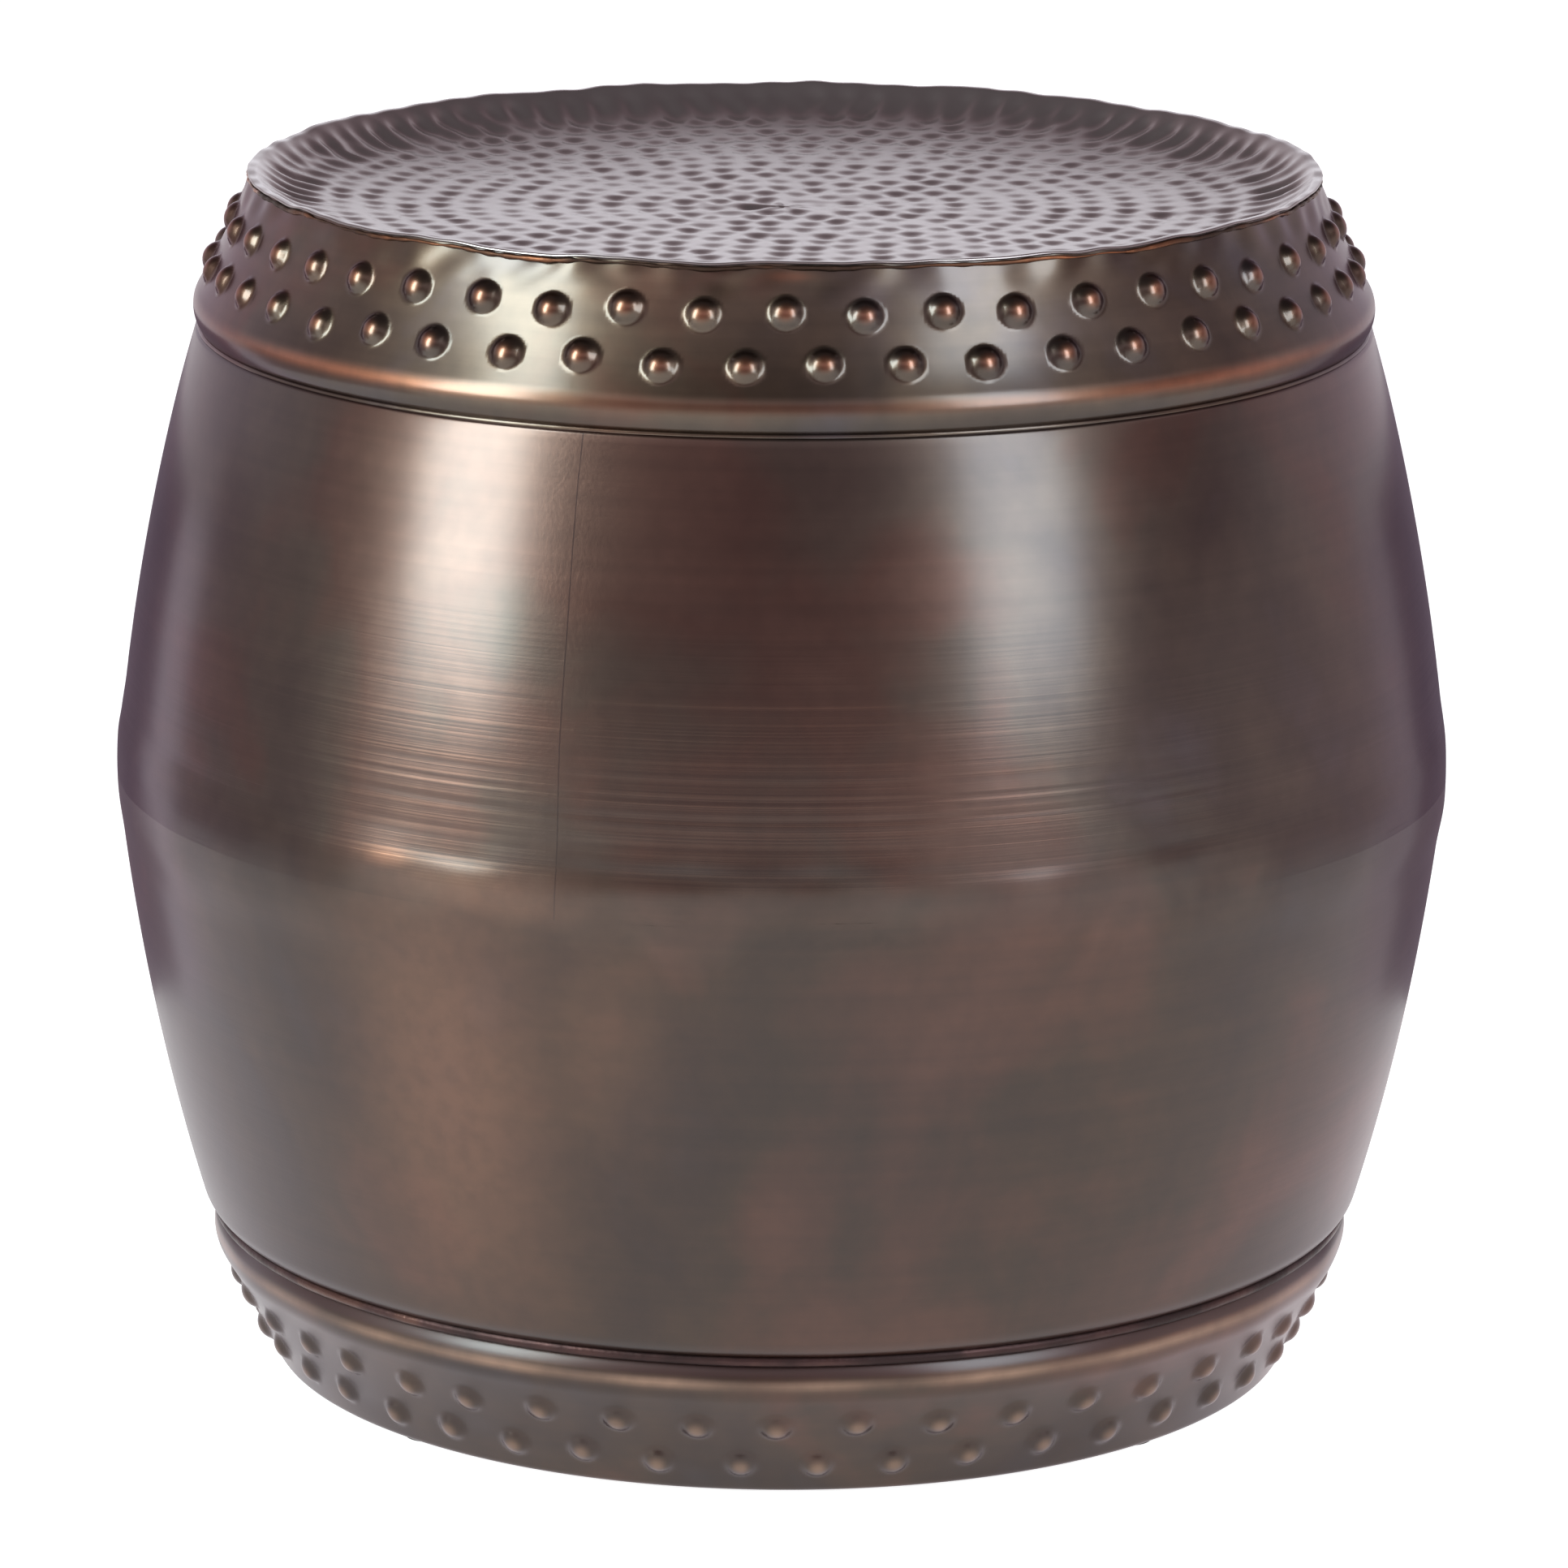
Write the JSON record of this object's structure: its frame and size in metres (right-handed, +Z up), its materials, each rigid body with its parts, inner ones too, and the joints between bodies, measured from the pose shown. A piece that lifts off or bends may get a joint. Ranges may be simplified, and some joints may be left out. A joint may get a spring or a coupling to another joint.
{
  "type": "drum side table",
  "caption": "Barrel-shaped sheet-metal side table with a hammered dished tray, bossed collar and foot bands and a rounded belly.",
  "frame": {"origin": "centre of the drum at the floor, on the undersides of the felt pads", "axes": "+Z up along the drum's axis, +X and +Y along the two bars of the brace under the tray"},
  "size_m": [0.4714, 0.4714, 0.426],
  "materials": {
    "dark_copper": "dark antique copper patina, hand hammered and lacquered, rubbed through on the crests",
    "tray_copper": "dark antique copper patina with a violet cast over close hammer marks",
    "braze": "bare copper-coloured braze, hand filed",
    "steel": "mill steel blackened by the same patina bath",
    "felt": "dark brown self-adhesive felt"
  },
  "bodies": {
    "root": {"hammered_tray": "tray_copper", "rim_braze": "braze", "collar_band": "dark_copper", "shoulder_braze": "braze", "upper_shell": "dark_copper", "belly_weld": "braze", "belly_hoop": "steel", "lower_shell": "dark_copper", "foot_braze": "braze", "foot_band": "dark_copper", "brace_bar_over": "steel", "brace_bar_under": "steel", "floor_pads": "felt"}
  },
  "joints": []
}
